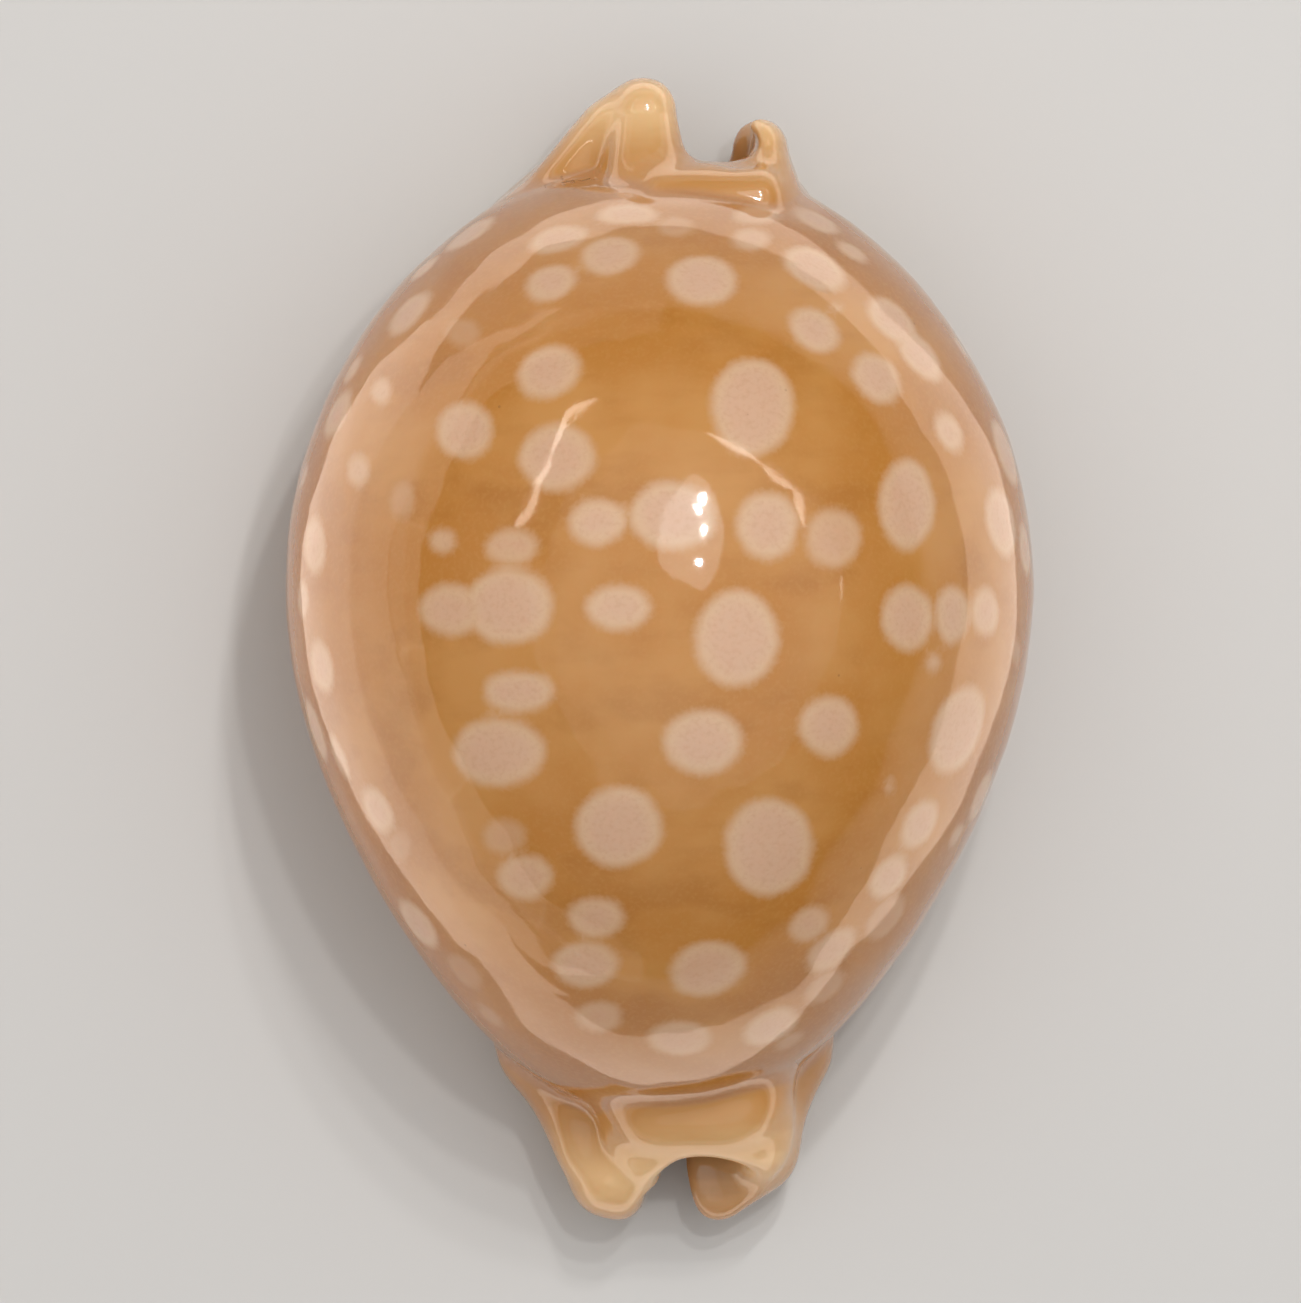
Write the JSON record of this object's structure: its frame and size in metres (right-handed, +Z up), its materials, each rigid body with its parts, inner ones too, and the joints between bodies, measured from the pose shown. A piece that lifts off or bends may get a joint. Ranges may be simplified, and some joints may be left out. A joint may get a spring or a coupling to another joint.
{
  "type": "white-toothed cowry shell",
  "caption": "Glossy spotted cowry shell, hollow, with a toothed slit along its flat base, for display or decoration.",
  "frame": {"origin": "centre of the shell's box at the level of the flat of its base, on the surface it rests on", "axes": "+Y towards the back canal with its two horns, +Z up through the domed back, +X towards the columella side"},
  "size_m": [0.0522, 0.08, 0.0424],
  "materials": {
    "shell": "glossy orange-brown enamel with soft cream spots, cream base and white teeth"
  },
  "bodies": {
    "root": {"shell": "shell"}
  },
  "joints": []
}
